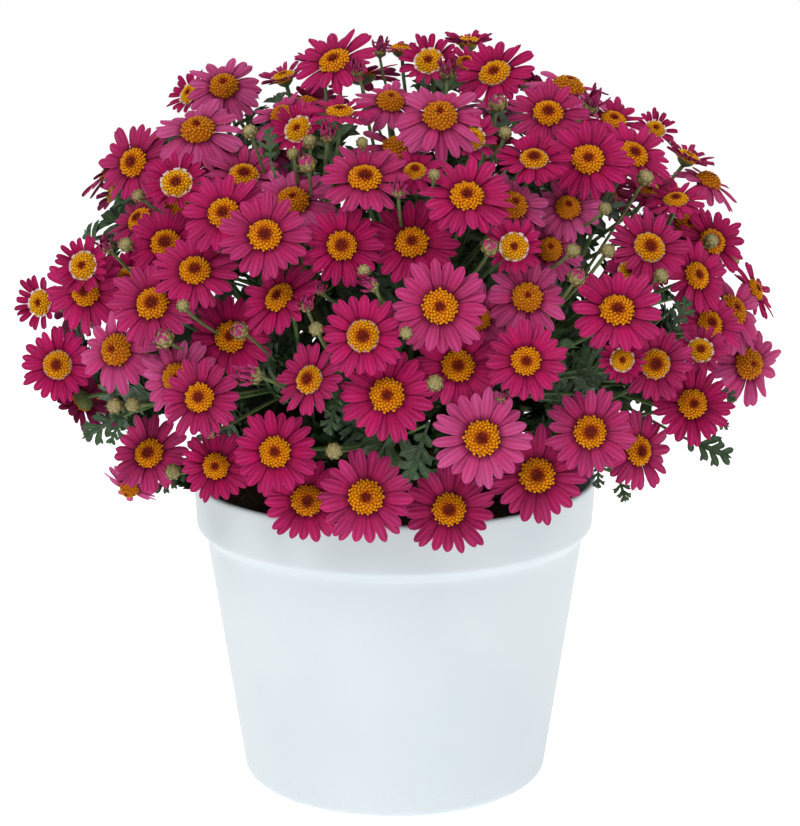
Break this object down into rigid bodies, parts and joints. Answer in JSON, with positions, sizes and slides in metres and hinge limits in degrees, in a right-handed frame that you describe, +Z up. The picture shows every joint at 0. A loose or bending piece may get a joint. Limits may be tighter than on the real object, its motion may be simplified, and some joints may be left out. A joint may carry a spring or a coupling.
{
  "type": "potted marguerite daisy",
  "caption": "Bushy marguerite daisy with crimson-pink yellow-centred flower heads and cut leaves, growing in a plain white tapered pot with a collared rim.",
  "frame": {"origin": "middle of the pot's flat underside", "axes": "+Z up along the pot's axis; the seen front of the plant faces -Y; +X is to the right of the front"},
  "size_m": [0.417, 0.3584, 0.4166],
  "materials": {
    "pot_plastic": "satin, faintly bluish white",
    "compost": "rough, dark, fibrous",
    "bark": "rough, grey-brown",
    "flowering_growth": "soft matt petals"
  },
  "bodies": {
    "root": {"pot": "pot_plastic", "soil": "compost", "woody_stem": "bark", "spray_01": "flowering_growth", "spray_02": "flowering_growth", "spray_03": "flowering_growth", "spray_04": "flowering_growth", "spray_05": "flowering_growth", "spray_06": "flowering_growth", "spray_07": "flowering_growth", "spray_08": "flowering_growth", "spray_09": "flowering_growth", "spray_10": "flowering_growth", "spray_11": "flowering_growth", "spray_12": "flowering_growth", "spray_13": "flowering_growth", "spray_14": "flowering_growth", "spray_15": "flowering_growth", "spray_16": "flowering_growth", "spray_17": "flowering_growth", "spray_18": "flowering_growth", "spray_19": "flowering_growth", "spray_20": "flowering_growth", "spray_21": "flowering_growth", "spray_22": "flowering_growth", "spray_23": "flowering_growth", "spray_24": "flowering_growth", "spray_25": "flowering_growth", "spray_26": "flowering_growth", "spray_27": "flowering_growth", "spray_28": "flowering_growth"}
  },
  "joints": []
}
